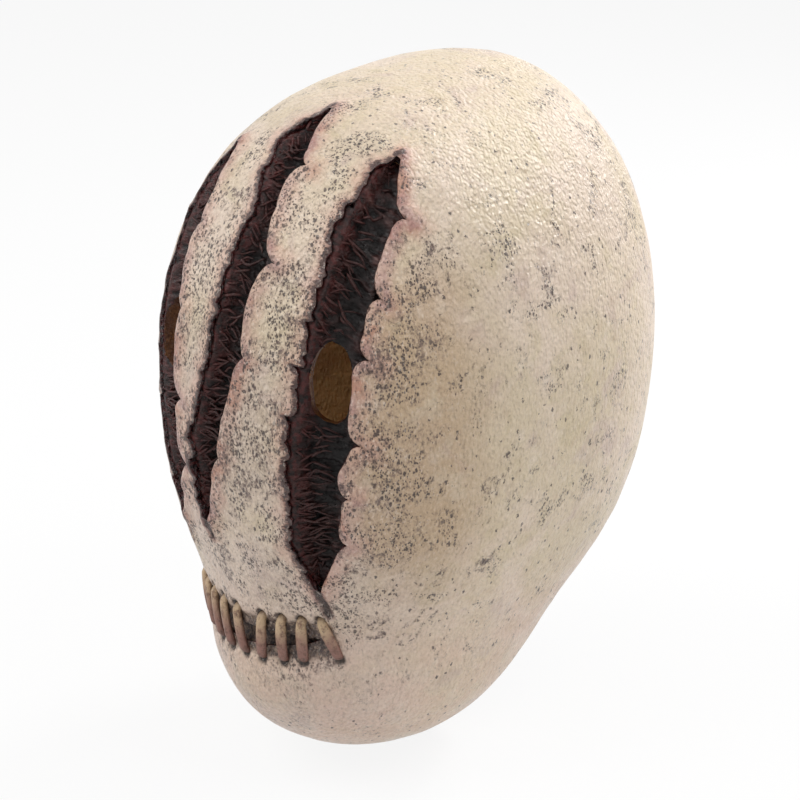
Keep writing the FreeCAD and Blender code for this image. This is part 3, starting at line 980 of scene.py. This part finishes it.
def flesh_material():
    """Wet torn flesh: near black in the deep and darker in the hollows of its relief, which is painted shade,
    maroon on the slopes, and greyish pink along the ridges and strands, which is a painted highlight. The
    wall of an eye hole is brown cut latex."""
    s = Shader("torn flesh paint")
    depth, slope, relief, eye = s.mark("depth"), s.mark("slope"), s.mark("relief"), s.mark("eye")
    thread = s.noise(1.0, 4, 0.65, s.stretch((0.25, 0.6, 1.0)), warp=1.2)
    # Darker in the hollows and lighter on the ridges of the relief, broken by thread noise: painted shade and
    # painted light.
    s.colour = s.mix((relief + thread * 1.6 - 0.8).step(-0.8, 1.8), tint(12, 6, 5), tint(60, 28, 24))
    s.coat(s.noise(5, 4).step(0.52, 0.7) * 0.5, 42, 24, 26)
    # Greyish pink on the highest ridges and on the strands: painted highlight.
    s.coat((relief + thread * 2.2 - 1.1).step(1.2, 2.6) * 0.65, 132, 100, 94)
    s.coat(slope * s.noise(2.6, 4).step(0.42, 0.62) * 0.6, 92, 38, 36)
    # Near black where the flesh lies deepest: painted shade.
    s.coat(depth.step(4.5, 7.5) * 0.8, 10, 5, 5)
    s.colour = s.mix(eye, s.colour, s.mix(s.noise(3, 3).step(0.35, 0.7), tint(84, 48, 28), tint(122, 80, 46)))
    height = s.noise(0.8, 3, 0.6, s.stretch((0.3, 0.6, 1.0)), warp=0.8) + s.noise(2.2, 3) * 0.8
    return s.finish(s.noise(4, 3) * 0.3 + 0.16, s.bump(height, 0.6), specular=0.28)


def backing_material():
    """Rubber behind the mouth, painted dark as the shade inside the mouth's slit, mottled with a paler tan.
    """
    s = Shader("mouth backing rubber")
    s.colour = s.mix(s.noise(1.8, 4, 0.7).step(0.4, 0.62), tint(44, 32, 33), tint(118, 98, 84))
    return s.finish(0.5, s.bump(s.noise(1.2, 3), 0.4))


def cord_material():
    """Soiled thick cord: tan, paler towards the upper end, with brown stains and fine grain."""
    s = Shader("stitch cord")
    along = s.mark("along")
    s.colour = s.mix(s.ragged(along, 0.5, 5, 3).step(0.0, 0.7), tint(194, 168, 134), tint(136, 98, 86))
    s.coat(s.noise(3.2, 4, 0.65).step(0.48, 0.66) * 0.75, 98, 64, 50)
    s.coat(s.noise(1.4, 4, 0.7).step(0.56, 0.7) * 0.7, 66, 46, 40)
    # Darker at both ends, where the cord sinks into its holes: painted shade.
    s.coat(along.step(0.82, 1.0) * 0.75, 66, 42, 34)
    s.coat(along.step(0.14, 0.0) * 0.6, 88, 58, 44)
    height = s.noise(0.9, 3, 0.6, s.stretch((1.0, 1.0, 0.4))) + s.noise(2.6, 2) * 1.2
    return s.finish(0.5, s.bump(height, 0.45))


# ======== mask ========

skin_paint = latex_material()
flesh_paint = flesh_material()
sheet = HeadSheet()
head_skin(sheet, skin_paint)
for number, name in enumerate(NAMES):
    flesh_liner(name, sheet.edges[name], flesh_paint)
    flesh_strands(name, flesh_paint, 100 + number)
mouth_backing(backing_material())
cord_paint = cord_material()
for number in range(len(STITCHES)):
    stitch(number, cord_paint)


# ======== stage, light and camera ========

def seen_directly(tree):
    """1 for what the camera, a mirror or a clear piece sees, and 0 for the light that falls on things."""
    path = tree.nodes.new("ShaderNodeLightPath")
    share = path.outputs["Is Camera Ray"]
    for kind in ("Is Glossy Ray", "Is Transmission Ray"):
        either = tree.nodes.new("ShaderNodeMath")
        either.operation = "MAXIMUM"
        tree.links.new(share, either.inputs[0])
        tree.links.new(path.outputs[kind], either.inputs[1])
        share = either.outputs[0]
    return share


def white_material(name, shadow):
    """White to the camera and in mirrors. For a floor, what the camera sees keeps the shadow: the plain
    diffuse shading there is lifted so that only the shadow darkens it."""
    s = Shader(name)
    glow = s.node("ShaderNodeEmission", {}, {"Color": (1.0, 1.0, 1.0), "Strength": 1.0})
    plain = s.node("ShaderNodeBsdfDiffuse", {}, {"Color": (0.8, 0.8, 0.8)})
    share = Value(s, seen_directly(s.tree)) * (1.0 - shadow)
    return s.show(s.node("ShaderNodeMixShader", {}, {0: share, 1: plain, 2: glow}))


def stage_piece(name, corners, material):
    mesh = bpy.data.meshes.new(name)
    mesh.from_pydata(corners, [], [(0, 1, 2, 3)])
    mesh.materials.append(material)
    piece = bpy.data.objects.new(name, mesh)
    bpy.context.scene.collection.objects.link(piece)


def aim(name, data, azimuth, elevation, distance):
    """A lamp or camera pointed at the mask's middle. Angles are in degrees, from the front towards +X."""
    turn, rise = math.radians(azimuth), math.radians(elevation)
    back = Vector((math.sin(turn) * math.cos(rise), -math.cos(turn) * math.cos(rise), math.sin(rise)))
    placed = bpy.data.objects.new(name, data)
    placed.location = back * distance
    placed.rotation_euler = back.to_track_quat("Z", "Y").to_euler()
    bpy.context.scene.collection.objects.link(placed)
    return placed


def soft_light(name, azimuth, elevation, distance, size, power):
    """A square white lamp."""
    light = bpy.data.lights.new(name, "AREA")
    light.shape, light.size, light.energy = "SQUARE", size, power
    aim(name, light, azimuth, elevation, distance)


low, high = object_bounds()
FLOOR = low[2]
stage_piece("floor", [(-3, -3, FLOOR), (3, -3, FLOOR), (3, 3, FLOOR), (-3, 3, FLOOR)],
            white_material("floor white", 0.12))
soft_light("key light", 110.0, 52.0, 1.1, 0.6, 4.5)
soft_light("back light", 176.0, 33.0, 1.1, 0.26, 7.6)
soft_light("fill light", -35.0, 48.0, 1.3, 0.9, 10.0)

world = bpy.data.worlds.new("white surroundings")
bpy.context.scene.world = world
world.use_nodes = True
world_nodes = world.node_tree.nodes
world_nodes["Background"].inputs["Strength"].default_value = 0.42
surround = world_nodes.new("ShaderNodeBackground")
surround.inputs["Strength"].default_value = 1.0
world_mix = world_nodes.new("ShaderNodeMixShader")
share = seen_directly(world.node_tree)
for socket, source in enumerate((share, world_nodes["Background"].outputs[0], surround.outputs[0])):
    world.node_tree.links.new(source, world_mix.inputs[socket])
world.node_tree.links.new(world_mix.outputs[0], world_nodes["World Output"].inputs[0])
for socket in (world_nodes["Background"].inputs["Color"], surround.inputs["Color"]):
    socket.default_value = (1.0, 1.0, 1.0, 1.0)

bpy.context.scene.view_settings.view_transform = "Standard"

camera_data = bpy.data.cameras.new("camera")
camera_data.lens, camera_data.sensor_width = 85.0, 36.0
camera_data.shift_x, camera_data.shift_y = -0.0059, 0.0295
bpy.context.scene.camera = aim("camera", camera_data, 44.0, 24.5, 0.776)
